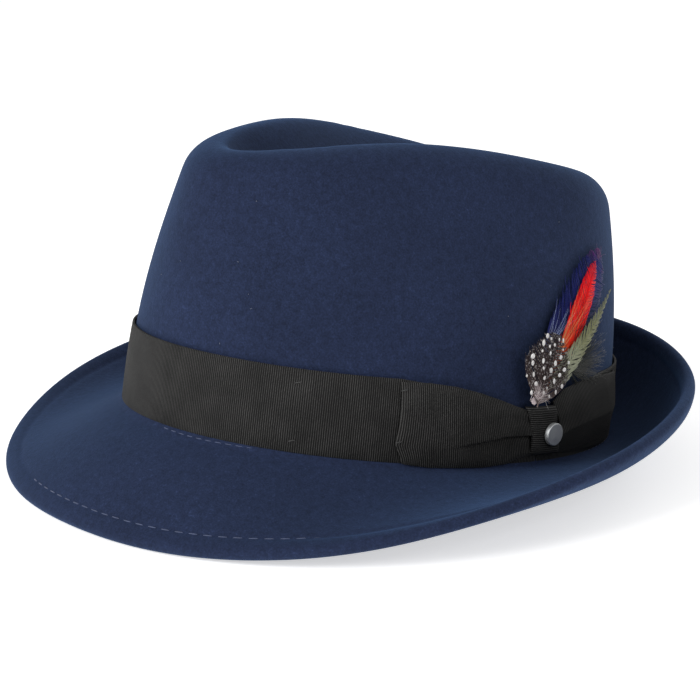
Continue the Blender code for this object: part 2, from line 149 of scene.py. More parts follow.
# Outlines from quill to tip: how far along, then the forward and the rear
# edge as shares of the half width
BLUE_OUTLINE = ((0.0, 0.0, 0.0), (0.08, 0.20, 0.10), (0.22, 1.00, 0.50), (0.38, 1.06, 0.80),
                (0.55, 1.02, 0.90), (0.72, 0.92, 0.92), (0.84, 0.74, 0.88), (0.93, 0.40, 0.66),
                (1.0, 0.0, 0.10))
RED_OUTLINE = ((0.0, 0.0, 0.0), (0.20, 0.34, 0.34), (0.40, 0.65, 0.70), (0.62, 0.85, 0.95),
               (0.82, 0.75, 0.90), (0.94, 0.45, 0.50), (1.0, 0.0, 0.04))
OLIVE_OUTLINE = ((0.0, 0.0, 0.0), (0.12, 0.24, 0.40), (0.27, 0.60, 0.90), (0.42, 0.66, 0.80),
                 (0.57, 0.56, 0.66), (0.72, 0.40, 0.50), (0.88, 0.20, 0.24), (1.0, 0.0, 0.0))
SPOTTED_OUTLINE = ((0.0, 0.0, 0.0), (0.12, 0.50, 0.42), (0.32, 0.96, 0.85), (0.55, 1.00, 1.00),
                   (0.75, 0.80, 0.90), (0.90, 0.48, 0.62), (1.0, 0.15, 0.25))

# Camera, in the picture's own measures
CAMERA_AZIMUTH = math.radians(50.0)
CAMERA_ELEVATION = math.radians(14.7)
CAMERA_DISTANCE = 0.842
CAMERA_FOCUS = 2152.4
PICTURE_WIDTH = 700
SENSOR_WIDTH = 36.0
AIM_RIGHT = -7.84 * MM
AIM_UP = 24.24 * MM

# Studio: strengths of the ground's glow, the sky and the three lights
FLOOR_SIZE = 9.0
FLOOR_GLOW = 0.55
SKY = 0.42
KEY = 30.0
FILL = 7.0
RIM = 6.0
WHITE = (1.0, 1.0, 1.0, 1.0)


class TrilbySettings(bpy.types.PropertyGroup):
    """Sizes and colours that a user may change"""

    felt_colour: FloatVectorProperty(
        name="Felt", description="Colour of the felt", subtype="COLOR",
        default=(0.0130, 0.0202, 0.0500))
    ribbon_colour: FloatVectorProperty(
        name="Ribbon", description="Colour of the band and bow", subtype="COLOR",
        default=(0.0115, 0.0113, 0.0110))
    leather_colour: FloatVectorProperty(
        name="Sweatband", description="Colour of the leather inside", subtype="COLOR",
        default=(0.030, 0.022, 0.018))
    thread_colour: FloatVectorProperty(
        name="Thread", description="Colour of the edge stitches", subtype="COLOR",
        default=(0.048, 0.066, 0.135))
    rib_pitch: FloatProperty(
        name="Rib pitch", description="From one grosgrain rib to the next", default=0.78 * MM,
        unit="LENGTH")
    edge_stitch: FloatProperty(
        name="Edge stitch", description="Length of a stitch at the brim's edge", default=3.3 * MM,
        unit="LENGTH")
    edge_pitch: FloatProperty(
        name="Edge pitch", description="From one edge stitch to the next", default=5.4 * MM,
        unit="LENGTH")
    root_stitch: FloatProperty(
        name="Root stitch", description="Length of a stitch below the band", default=2.5 * MM,
        unit="LENGTH")
    root_pitch: FloatProperty(
        name="Root pitch", description="From one stitch below the band to the next", default=4.0 * MM,
        unit="LENGTH")
    thread_width: FloatProperty(
        name="Thread width", description="Width of the sewing thread", default=0.44 * MM, unit="LENGTH")
    smoothing: IntProperty(
        name="Smoothing", description="Subdivision levels of the felt", default=2, min=1, max=3)


def settings():
    """The values that a user may change."""
    return bpy.context.scene.trilby


# Shape of the hat

def column(name, degrees):
    """A section column at any angle round the head, as a smooth closed curve."""
    index = SECTION_COLUMNS.index(name)
    values = np.array([row[index] for row in SECTIONS], float)
    last = len(values) - 1
    folded = np.abs((np.asarray(degrees, float) + 180) % 360 - 180)
    place = folded / 180 * last
    low = np.minimum(place.astype(int), last - 1)
    part = place - low
    padded = np.concatenate([[values[1]], values, [values[-2]]])
    before, first, second, after = (padded[low + k] for k in range(4))
    slope = (second - before) * part
    bend = (2 * before - 5 * first + 4 * second - after) * part ** 2
    twist = (3 * first - before - 3 * second + after) * part ** 3
    return 0.5 * (2 * first + slope + bend + twist)


def unit(ways):
    """The same ways, each made one long."""
    return ways / np.linalg.norm(ways, axis=-1, keepdims=True)


def at_rest(points):
    """Points of the hat's own frame, where the hat rests on the floor."""
    points = np.asarray(points, float)
    turn = np.array(REST.to_3x3())
    return points @ turn.T + np.array(REST_PLACE)


def section_point(degrees, outward, height):
    """A point so far out from the head's oval, at a height."""
    turn = np.radians(degrees)
    across, along = HEAD_WIDTH / 2, HEAD_LENGTH / 2
    points = np.stack([across * np.sin(turn), -along * np.cos(turn)], -1)
    way = np.stack([np.sin(turn) / across, -np.cos(turn) / along], -1)
    flat = points + unit(way) * np.asarray(outward)[..., None]
    return np.concatenate([flat, np.broadcast_to(height, flat.shape[:-1])[..., None]], -1)


def wall_point(degrees, height, offset):
    """A point on the crown's side wall, resting, at a height above the break."""
    degrees, height, offset = np.broadcast_arrays(degrees, height, offset)
    tall = column("height", degrees) * CROWN_HEIGHT - SHOULDER_HEIGHT
    share = np.clip(height / tall, 0, None)
    lean = column("lean", degrees) * CROWN_LEAN * share ** WALL_BELLY
    rise = BREAK_RISE * np.cos(2 * np.radians(degrees)) * (1 - share)
    return at_rest(section_point(degrees, offset - lean, height + rise))


def brim_point(degrees, share, steps=60):
    """A point on the brim's upper side, resting, at a share of its width."""
    width = column("brim", degrees) * BRIM_WIDTH - FELT
    root, edge = np.radians(column("root", degrees)), np.radians(column("edge", degrees))
    middle = (np.arange(steps)[:, None] + 0.5) / steps * share
    slope = root + (edge - root) * middle ** column("curl", degrees)
    reach = np.cos(slope).sum(0) * width * share / steps
    rise = np.sin(slope).sum(0) * width * share / steps
    return at_rest(section_point(degrees, reach, rise + BREAK_RISE * np.cos(2 * np.radians(degrees))))


def oval_distances():
    """Angles all round from the front, by the left, and the distance along the break to each."""
    degrees = np.linspace(0, 360, 1441)
    points = section_point(degrees, 0.0, 0.0)
    return degrees, np.concatenate([[0], np.cumsum(np.linalg.norm(np.diff(points, axis=0), axis=1))])


DEGREES, DISTANCES = oval_distances()
OVAL_LENGTH = DISTANCES[-1]


def side_point(distance, height, offset):
    """A point on the wall, so far round from the front by the left side, and out from it."""
    return wall_point(np.interp(np.asarray(distance) % OVAL_LENGTH, DISTANCES, DEGREES), height, offset)


def seated(distance, height, lift):
    """A point over the band, and the way straight out of the wall there."""
    point = side_point(distance, height, TRIM_BACK + lift)
    return point, unit(side_point(distance, height, TRIM_BACK + lift + MM) - point)


def root_height(distance, outward):
    """How high the brim stands this far out from the wall's foot; below zero where it falls."""
    degrees = np.interp(np.asarray(distance) % OVAL_LENGTH, DISTANCES, DEGREES)
    return outward * np.tan(np.radians(column("root", degrees)))


# Nodes

class Wire:
    """One value in a material, with the arithmetic that adds Math nodes."""

    def __init__(self, paint, socket):
        self.paint, self.socket = paint, socket

    def math(self, operation, *values):
        return self.paint.node("ShaderNodeMath", {"operation": operation}, dict(enumerate(values)))

    def __add__(self, other):
        return self.math("ADD", self, other)

    __radd__ = __add__

    def __sub__(self, other):
        return self.math("SUBTRACT", self, other)

    def __rsub__(self, other):
        return self.math("SUBTRACT", other, self)

    def __mul__(self, other):
        return self.math("MULTIPLY", self, other)

    __rmul__ = __mul__

    def sine(self):
        return self.math("SINE", self)

    def clamp(self):
        return self.math("MINIMUM", self.math("MAXIMUM", self, 0.0), 1.0)


class Paint:
    """A procedural material in the making."""

    def __init__(self, name, roughness=0.8, metallic=0.0, uniform=None):
        self.material = bpy.data.materials.new(name)
        self.material.use_nodes = True
        self.tree = self.material.node_tree
        self.shader = self.tree.nodes["Principled BSDF"]
        fixed = {"Roughness": roughness, "Metallic": metallic, **(uniform or {})}
        for key, value in fixed.items():
            self.shader.inputs[key].default_value = value

    def node(self, kind, setup=None, sockets=None, output=0):
        """Adds a node: its settings first, then the values and links of its sockets."""
        node = self.tree.nodes.new(kind)
        for key, value in (setup or {}).items():
            if key == "stops":
                ramp = node.color_ramp
                while len(ramp.elements) < len(value):
                    ramp.elements.new(0.5)
                for element, (place, colour) in zip(ramp.elements, value):
                    element.position = place
                    element.color = (*colour, 1.0)
            else:
                setattr(node, key, value)
        for key, value in (sockets or {}).items():
            if isinstance(value, Wire):
                self.tree.links.new(value.socket, node.inputs[key])
            else:
                node.inputs[key].default_value = value
        return Wire(self, node.outputs[output])

    def object_place(self):
        """Places on the piece itself, in metres."""
        return self.node("ShaderNodeTexCoord", output="Object")

    def uv(self):
        """Places on the flat cloth, across and along, in metres."""
        flat = self.node("ShaderNodeTexCoord", output="UV")
        return (self.node("ShaderNodeSeparateXYZ", sockets={0: flat}, output=0),
                self.node("ShaderNodeSeparateXYZ", sockets={0: flat}, output=1))

    def attribute(self, name):
        """A number kept at each point of the mesh."""
        return self.node("ShaderNodeAttribute", {"attribute_name": name}, output="Fac")

    def noise(self, scale, detail=2.0, rough=0.5, place=None):
        """Soft irregular change over the surface."""
        return self.node("ShaderNodeTexNoise", sockets={
            "Vector": place or self.object_place(), "Scale": scale, "Detail": detail, "Roughness": rough})

    def ramp(self, value, *stops):
        """A colour for each value, by stops of place and colour."""
        return self.node("ShaderNodeValToRGB", {"stops": stops}, {0: value})

    def mix(self, factor, first, second):
        """One colour over another."""
        def colour(value):
            return value if isinstance(value, Wire) else (*value, 1.0)
        return self.node("ShaderNodeMix", {"data_type": "RGBA"}, {
            "Factor": factor, 6: colour(first), 7: colour(second)}, output=2)

    def bump(self, height, strength, distance, under=None):
        """Fine relief, on top of another where one is given."""
        sockets = {"Height": height, "Strength": strength, "Distance": distance}
        if under:
            sockets["Normal"] = under
        return self.node("ShaderNodeBump", sockets=sockets)

    def finish(self, **wires):
        """Links colour, rough and normal to the shader and returns the material."""
        names = {"colour": "Base Color", "rough": "Roughness", "normal": "Normal"}
        for key, wire in wires.items():
            self.tree.links.new(wire.socket, self.shader.inputs[names[key]])
        return self.material


def shade(colour, gain):
    """The same colour, lighter or darker."""
    return tuple(min(part * gain, 1.0) for part in colour)


def felt_material():
    """Blocked wool felt: soft clouds, a matted fibre mottle, fine nap and a bluish sheen."""
    paint = Paint("navy_felt", 0.95, uniform={
        "Sheen Weight": 0.20, "Sheen Roughness": 0.42, "Sheen Tint": (0.20, 0.46, 1.0, 1.0),
        "Specular IOR Level": 0.18})
    base = tuple(settings().felt_colour)
    clouds = paint.noise(24.0, 2.0)
    mottle = paint.noise(420.0, 3.0, 0.6)
    nap = paint.noise(1500.0, 2.0, 0.7)
    fibres = paint.noise(3600.0, 1.0)
    tone = 0.5 + (clouds - 0.5) * 0.45 + (mottle - 0.5) * 0.85 + (nap - 0.5) * 1.4
    colour = paint.ramp(tone, (0.12, shade(base, 0.62)), (0.5, base), (0.80, shade(base, 1.36)),
                        (1.0, shade(base, 2.2)))
    low = paint.bump(mottle, 0.35, 0.5 * MM)
    fine = paint.bump(nap * 0.6 + fibres * 0.4, 0.55, 0.25 * MM, low)
    return paint.finish(colour=colour, normal=fine)


def grosgrain_material(name, gain, axis):
    """Corded ribbon: rounded ribs across its length, with thread-to-thread change; each rib's groove is painted
    dark and its crest painted bright, painted shade and a painted highlight on top of the bump.
    """
    pitch = settings().rib_pitch
    paint = Paint(name, 0.72, uniform={
        "Specular IOR Level": 0.22, "Sheen Weight": 0.03, "Sheen Roughness": 0.4})
    # gain makes this copy of the ribbon lighter or darker as a whole: painted light and painted shade for how
    # light falls on each piece
    base = shade(tuple(settings().ribbon_colour), gain)
    place = paint.uv()
    wobble = (paint.noise(260.0, 1.0) - 0.5) * (0.22 * pitch)
    across = (place[axis] + wobble) * (2 * math.pi / pitch)
    rib = across.sine() * 0.5 + 0.5
    threads = ((place[1 - axis] * (2 * math.pi / (0.42 * MM))).sine() * 0.5 + 0.5) * 0.25
    worn = paint.noise(90.0, 3.0, 0.6)
    grain = paint.noise(2600.0, 1.0)
    # The rib term sweeps the colour from near black to over five times the base: painted shade in each groove
    # and a painted highlight on each crest
    tone = rib * 0.62 + threads + (worn - 0.5) * 0.35 + (grain - 0.5) * 0.35
    colour = paint.ramp(tone, (0.20, shade(base, 0.02)), (0.55, shade(base, 0.6)), (0.86, shade(base, 5.6)))
    normal = paint.bump(rib + threads * 0.3, 0.6, 0.25 * MM)
    return paint.finish(colour=colour, normal=normal)


def leather_material():
    """Smooth dark leather with a fine pebbled grain and a few creases."""
    paint = Paint("sweatband_leather", 0.5, uniform={"Specular IOR Level": 0.4})
    base = tuple(settings().leather_colour)
    pebble = paint.node("ShaderNodeTexVoronoi", {"feature": "DISTANCE_TO_EDGE"}, {
        "Vector": paint.object_place(), "Scale": 900.0}, output="Distance")
    worn = paint.noise(70.0, 3.0, 0.6)
    fine = paint.noise(1400.0, 2.0)
    colour = paint.ramp(worn * 0.7 + fine * 0.3, (0.25, shade(base, 0.7)), (0.5, base), (0.8, shade(base, 1.7)))
    rough = worn * 0.3 + 0.36
    normal = paint.bump(pebble * 2.0 + fine * 0.3, 0.5, 0.15 * MM)
    return paint.finish(colour=colour, rough=rough, normal=normal)


def thread_material(name, colour):
    """Twisted sewing thread."""
    paint = Paint(name, 0.6, uniform={"Sheen Weight": 0.3, "Sheen Roughness": 0.4})
    change = paint.noise(180.0, 2.0)
    twist = paint.noise(3200.0, 1.0)
    shown = paint.ramp(change * 0.5 + twist * 0.5, (0.25, shade(colour, 0.55)), (0.5, colour),
                       (0.8, shade(colour, 1.45)))
    return paint.finish(colour=shown, normal=paint.bump(twist, 0.4, 0.1 * MM))


def stud_material():
    """Matte silver plate: fine brushing with handling marks."""
    paint = Paint("matte_silver", 0.42, 1.0)
    place = paint.node("ShaderNodeMapping", {}, {"Vector": paint.object_place(), "Scale": (1.0, 14.0, 1.0)})
    brushed = paint.noise(900.0, 2.0, place=place)
    marks = paint.noise(500.0, 3.0, 0.7)
    colour = paint.ramp(brushed * 0.5 + marks * 0.5, (0.3, (0.56, 0.57, 0.58)), (0.55, (0.62, 0.64, 0.65)),
                        (0.8, (0.82, 0.83, 0.84)))
    return paint.finish(colour=colour, rough=marks * 0.25 + 0.42, normal=paint.bump(brushed, 0.15, 0.05 * MM))


def feather_material(name, *stops, freckle=0.5, flecks=0.0):
    """Dyed barbs, coloured from quill to tip, each barb a little lighter or darker."""
    paint = Paint(name, 0.45, uniform={"Specular IOR Level": 0.16})
    reach, tone = paint.attribute("reach"), paint.attribute("tone")
    drift = (paint.noise(120.0, 2.0) - 0.5) * 0.28
    colour = paint.ramp(reach + drift, *stops)
    speck = paint.noise(700.0, 2.0)
    light = (tone * (1 - freckle) + speck * freckle).clamp()
    dark = paint.node("ShaderNodeMix", {"data_type": "RGBA", "blend_type": "MULTIPLY"}, {
        "Factor": 0.85, 6: colour, 7: paint.ramp(light, (0.2, (0.60, 0.60, 0.60)), (0.7, (1.0, 1.0, 1.0)))},
        output=2)
    if flecks:
        pale = paint.ramp(paint.noise(1500.0, 1.0), (0.56, (0.0, 0.0, 0.0)), (0.66, (1.0, 1.0, 1.0)))
        dark = paint.mix(pale * flecks, dark, (0.50, 0.47, 0.47))
    return paint.finish(colour=dark, normal=paint.bump(speck, 0.25, 0.1 * MM))


# Meshes

def only(piece):
    """Selects one object alone and makes it the active one."""
    bpy.ops.object.select_all(action="DESELECT")
    piece.select_set(True)
    bpy.context.view_layer.objects.active = piece


@contextmanager
def editing(piece):
    """Edit mode, with the whole mesh selected."""
    only(piece)
    bpy.ops.object.mode_set(mode="EDIT")
    bpy.ops.mesh.select_all(action="SELECT")
    yield
    bpy.ops.object.mode_set(mode="OBJECT")


def add_modifier(piece, kind, **values):
    """Adds a modifier and applies it."""
    modifier = piece.modifiers.new(kind.lower(), kind)
    for key, value in values.items():
        setattr(modifier, key, value)
    only(piece)
    bpy.ops.object.modifier_apply(modifier=modifier.name)


def subdivide(piece, levels):
    """Smooths a piece by subdivision."""
    add_modifier(piece, "SUBSURF", levels=levels, render_levels=levels)


def wear(piece, material, slot, *nodes):
    """Gives a piece its material, makes it part of the hat and puts it in place of CAD nodes."""
    piece.data.materials.clear()
    piece.data.materials.append(material)
    only(piece)
    bpy.ops.object.shade_smooth()
    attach(piece, "root")
    if nodes:
        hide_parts(*nodes)
    return piece


def merged_copy(node, name):
    """A copy of a CAD node with its doubles merged and its triangles joined."""
    piece = bpy.data.objects.new(name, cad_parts[node].data.copy())
    bpy.context.scene.collection.objects.link(piece)
    only(piece)
    bpy.ops.mesh.customdata_custom_splitnormals_clear()
    with editing(piece):
        bpy.ops.mesh.remove_doubles(threshold=0.005 * MM)
        bpy.ops.mesh.mark_sharp(clear=True)
        bpy.ops.mesh.tris_convert_to_quads(face_threshold=math.radians(60),
                                           shape_threshold=math.radians(60))
    return piece


def grid_piece(name, columns, rows, place, lengths, thickness, inward=False):
    """A grid laid on the hat by a function of two shares, then given a thickness."""
    bpy.ops.object.select_all(action="DESELECT")
    bpy.ops.mesh.primitive_grid_add(x_subdivisions=columns, y_subdivisions=rows, size=1)
    piece = bpy.context.object
    piece.name = piece.data.name = name
    mesh = piece.data
    shares = np.zeros(len(mesh.vertices) * 3)
    mesh.vertices.foreach_get("co", shares)
    shares = shares.reshape(-1, 3)[:, :2] + 0.5
    points = place(shares[:, 0], shares[:, 1])
    mesh.vertices.foreach_set("co", points.ravel())
    loops = np.zeros(len(mesh.loops), int)
    mesh.loops.foreach_get("vertex_index", loops)
    flat = shares[loops] * np.array(lengths)
    mesh.uv_layers.active.data.foreach_set("uv", flat.ravel())
    mesh.update()
    if inward:
        with editing(piece):
            bpy.ops.mesh.flip_normals()
    add_modifier(piece, "SOLIDIFY", thickness=thickness, offset=-1.0, use_even_offset=True)
    add_modifier(piece, "BEVEL", width=thickness * 0.28, segments=2, limit_method="ANGLE",
                 angle_limit=math.radians(50))
    return piece


def mesh_piece(name, points, faces):
    """A piece from points and faces, its faces turned outwards."""
    mesh = bpy.data.meshes.new(name)
    mesh.from_pydata(points, [], faces)
    piece = bpy.data.objects.new(name, mesh)
    bpy.context.scene.collection.objects.link(piece)
    with editing(piece):
        bpy.ops.mesh.normals_make_consistent(inside=False)
    return piece


def strands(name, paths, outward, half_width, half_height, reach, tone):
    """Closed flat strands along many paths: arrays of strand by point."""
    count, knots = paths.shape[:2]
    along = unit(np.gradient(paths, axis=1))
    wide = unit(np.cross(along, outward)) * half_width[..., None]
    high = outward * half_height[..., None]
    corners = np.stack([paths - wide, paths - high, paths + wide, paths + high], 2)
    points = corners.reshape(-1, 3)
    faces = []
    for strand in range(count):
        first = strand * knots * 4
        faces.append([first + corner for corner in range(4)])
        for knot in range(knots - 1):
            low = first + knot * 4
            for corner in range(4):
                after = (corner + 1) % 4
                faces.append([low + corner, low + after, low + 4 + after, low + 4 + corner])
        faces.append([first + (knots - 1) * 4 + corner for corner in range(3, -1, -1)])
    piece = mesh_piece(name, points.tolist(), faces)
    for label, values in (("reach", reach), ("tone", tone)):
        layer = piece.data.attributes.new(label, "FLOAT", "POINT")
        layer.data.foreach_set("value", np.repeat(values.ravel(), 4).astype(np.float32))
    return piece


def plume_place(along, across, turn, lift, foot=(0.0, 0.0)):
    """Places on the wall from a feather's own plane, and the ways straight out of it."""
    bearing = PLUME_BEARING + turn
    distance = PLUME_FOOT[0] + foot[0] + math.sin(bearing) * along + math.cos(bearing) * across
    height = PLUME_FOOT[1] + foot[1] + math.cos(bearing) * along - math.sin(bearing) * across
    return seated(distance, height, lift)


def feather_piece(name, outline, length, half_width, turn, lift, draw, pitch, sweep, ragged, fringe=0.0,
                  start=0.0, clump=0, gathered=0.0, foot=(0.0, 0.0)):
    """A feather of single barbs, combed towards the tip from both sides of its rib."""
    knots = BARB_KNOTS
    table = np.array(outline)
    count = int(length * (1 - start) / pitch)
    parts = []
    for side, edge in ((-1, 1), (1, 2)):
        roots = np.linspace(start, 0.985, count)
        tips = roots + (1 - roots) * sweep * (1 - 0.25 * roots)
        tips = np.clip(tips + draw.normal(0, 0.006, count), 0, 1.0)
        spread = np.interp(tips, table[:, 0], table[:, edge]) * half_width
        trim = 1 + draw.normal(0, ragged, count)
        split = (draw.random(count) < fringe) * draw.uniform(0.05, 0.30, count)
        if clump:
            group = np.arange(count) // clump
            lead = np.minimum((group + 0.6) * clump, count - 1).astype(int)
            tips = tips + (tips[lead] - tips) * gathered
            pointed = 1 - gathered * 0.6 * np.abs(np.arange(count) - lead) / clump
            spread = spread * pointed
        spread = np.maximum(spread * trim, 0.15 * MM) * (1 + split)
        share = np.linspace(0, 1, knots)[None, :]
        curve = share ** 1.25
        lines = (roots[:, None] + (tips - roots)[:, None] * curve) * length
        across = side * spread[:, None] * (1 - (1 - share) ** 1.5)
        fall = (1 - share) ** 0.7 * 0.35 * MM + draw.normal(0, 0.06 * MM, count)[:, None]
        points, ways = plume_place(lines, across, turn, lift + 0.45 * MM + fall, foot)
        tone = np.repeat(draw.random(count)[:, None], knots, 1) * 0.6 + 0.4 * (1 - share) + share * 0.2
        thick = 0.62 * pitch * math.sin(math.radians(34))
        wide = np.maximum(thick * 1.35 * (1 - 0.65 * share ** 3), 0.05 * MM) * np.ones((count, 1))
        high = 0.07 * MM * np.ones((count, knots))
        parts.append((points, ways, wide, high, lines / length, tone))
    return strands(name, *map(np.concatenate, zip(*parts)))


def rib_piece(name, length, turn, lift, radius, foot=(0.0, 0.0)):
    """The feather's stem, from a thick quill to a hair at the tip."""
    share = np.linspace(0, 1, 24)
    points, ways = plume_place(share * length * 0.97, 0.0 * share, turn, lift + 0.85 * MM, foot)
    thin = radius * (1 - 0.85 * share)
    return strands(name, points[None], ways[None], thin[None], thin[None] * 0.8, share[None],
                   np.full((1, 24), 0.9))


def join(name, pieces):
    """Joins several objects into one."""
    bpy.ops.object.select_all(action="DESELECT")
    for piece in pieces:
        piece.select_set(True)
    bpy.context.view_layer.objects.active = pieces[0]
    bpy.ops.object.join()
    pieces[0].name = pieces[0].data.name = name
    return pieces[0]


def hairs(name, draw, count, start, length, bearing, spread, lift, width, curl, wave=0.0):
    """Loose fine hairs that leave one place in a fan, each curling its own way."""
    knots = HAIR_KNOTS
    share = np.linspace(0, 1, knots)[None, :]
    longs = length * draw.uniform(0.55, 1.0, count)[:, None]
    turn = math.radians(bearing) + draw.normal(0, spread, count)[:, None]
    bend = draw.normal(0, curl, count)[:, None] * share
    ripple = wave * np.sin(share * 9 + draw.uniform(0, 6, count)[:, None])
    along = start[0] + np.cumsum(np.cos(turn + bend + ripple), 1) / knots * longs
    across = start[1] + np.cumsum(np.sin(turn + bend + ripple), 1) / knots * longs
    jitter = draw.normal(0, 0.5 * MM, (count, 1))
    rise = share * draw.uniform(0, 1.6, count)[:, None] * MM
    points, ways = plume_place(along, across + jitter, 0.0, lift + rise)
    thin = width * (1 - 0.75 * share) * np.ones((count, 1))
    even = np.full(points.shape[:2], 0.9)
    return strands(name, points, ways, thin, thin, even, even)


def ball(segments, rings, radius):
    """Points and faces of a ball, the start of a stitch or a spot."""
    bpy.ops.object.select_all(action="DESELECT")
    bpy.ops.mesh.primitive_uv_sphere_add(segments=segments, ring_count=rings, radius=radius)
    model = bpy.context.object
    shape = np.array([vertex.co for vertex in model.data.vertices])
    faces = [list(face.vertices) for face in model.data.polygons]
    bpy.data.objects.remove(model)
    return shape, faces


def copies(name, shapes, faces):
    """One piece made of many copies with the same faces."""
    step = len(shapes[0])
    return mesh_piece(name, np.concatenate(shapes).tolist(), [
        [index + number * step for index in face] for number in range(len(shapes)) for face in faces])


def stitches(name, places, ways, ups, length, width):
    """A row of threads, one rounded stitch copied along a line."""
    shape, faces = ball(8, 6, 0.5)
    shape[:, 2] = np.sign(shape[:, 2]) * np.abs(shape[:, 2] * 2) ** 0.6 / 2
    shape = shape * (width, width * 0.7, length)
    threads = []
    for place, way, up in zip(places, ways, ups):
        side = unit(np.cross(way, up))
        threads.append(place + shape @ np.array([side, np.cross(side, way), way]))
    return copies(name, threads, faces)


def stitched_line(name, surface, line, pitch, length, width, sunk):
    """Stitches along a closed line of points, seated on a surface."""
    steps = np.linalg.norm(np.diff(line, axis=0), axis=1)
    total = np.concatenate([[0], np.cumsum(steps)])
    count = int(total[-1] / pitch)
    spots = (np.arange(count) + 0.5) * total[-1] / count

    def on_line(distance):
        return np.stack([np.interp(distance, total, line[:, k]) for k in range(3)], -1)

    ways = unit(on_line(spots + 0.5 * MM) - on_line(spots - 0.5 * MM))
    places, ups = [], []
    for point, share in zip(on_line(spots), spots / total[-1]):
        place, up, _, _ = surface.find_nearest(Vector(point))
        places.append(np.array(place) + np.array(up) * (width * 0.35 - sunk(share)))
        ups.append(np.array(up))
    return stitches(name, places, ways, ups, length, width)


def tree_of(piece):
    """A search tree over a piece's faces."""
    mesh = piece.data
    return BVHTree.FromPolygons([vertex.co for vertex in mesh.vertices],
                                [list(face.vertices) for face in mesh.polygons])


def edge_line():
    """The seam of the folded edge, on the brim's upper side."""
    return brim_point(np.linspace(0, 360, LINE_STEPS), 1 - EDGE_SEAM / BRIM_WIDTH)


class TRILBY_OT_felt(bpy.types.Operator):
    """Felt body: the CAD body made smooth, with the edge's seam pressed in"""

    bl_idname = "trilby.felt"
    bl_label = "Felt body"

    def execute(self, context):
        felt = merged_copy("felt_body", "felt")
        subdivide(felt, settings().smoothing)
        seam = edge_line()
        tree = KDTree(len(seam))
        for index, point in enumerate(seam):
            tree.insert(point, index)
        tree.balance()
        for vertex in felt.data.vertices:
            _, _, far = tree.find(vertex.co)
            if far < SEAM_END:
                press = SEAM_DEPTH * math.exp(-(far / SEAM_REACH) ** 2)
                vertex.co -= vertex.normal * press
        wear(felt, felt_material(), "felt", "felt_body")
        return {"FINISHED"}


class TRILBY_OT_stitching(bpy.types.Operator):
    """Stitches: one row round the brim's edge and one below the band"""

    bl_idname = "trilby.stitching"
    bl_label = "Stitching"

    def sunk(self, middle, half):
        """How deep stitches lie in the felt: proud near one angle, drawn in elsewhere."""
        def depth(share):
            beyond = np.abs((share * 360 - middle + 180) % 360 - 180) - half
            return (0.12 + 0.5 * np.clip(beyond / 10, 0, 1)) * MM
        return depth

    def execute(self, context):
        values = settings()
        surface = tree_of(bpy.data.objects["felt"])
        thread = thread_material("edge_thread", tuple(values.thread_colour))
        edge = stitched_line("edge_stitches", surface, edge_line(), values.edge_pitch,
                             values.edge_stitch, values.thread_width, self.sunk(15, 27))
        wear(edge, thread, "felt")
        degrees = np.linspace(0, 360, LINE_STEPS)
        folded = (degrees + 180) % 360 - 180
        reach = 0.7 * MM + 1.5 * MM * np.exp(-((folded - 12) / 17) ** 2)
        root = brim_point(degrees, reach / BRIM_WIDTH)
        seam = stitched_line("root_stitches", surface, root, values.root_pitch, values.root_stitch,
                             values.thread_width * 0.8, self.sunk(14, 10))
        wear(seam, thread, "felt")
        return {"FINISHED"}


class TRILBY_OT_band(bpy.types.Operator):
    """Grosgrain band round the crown, its ends meeting under the bow"""

    bl_idname = "trilby.band"
    bl_label = "Band"

    def execute(self, context):
        start = KNOT_DISTANCE
        length = OVAL_LENGTH - 0.4 * MM

        def place(across, up):
            distance = start + across * length
            low = GAP + np.maximum(root_height(distance, BAND_THICKNESS + GAP), 0)
            ease = 0.12 * MM * np.sin(distance * 90) * up
            places, shares = np.array(BAND_DIP).T
            beyond = (distance - start + OVAL_LENGTH / 2) % OVAL_LENGTH - OVAL_LENGTH / 2
            top = BAND_HEIGHT * np.interp(beyond / FRONT_LOOP_LENGTH, places, shares)
            return side_point(distance, low + (top - low) * up, GAP + BAND_THICKNESS + ease)

        band = grid_piece("band", 361, 8, place, (length, BAND_HEIGHT), BAND_THICKNESS)
        # Band's ribbon at gain 1.05, a touch lighter: painted light
        wear(band, grosgrain_material("band_grosgrain", 1.05, 0), "ribbon", "ribbon_band")
        return {"FINISHED"}


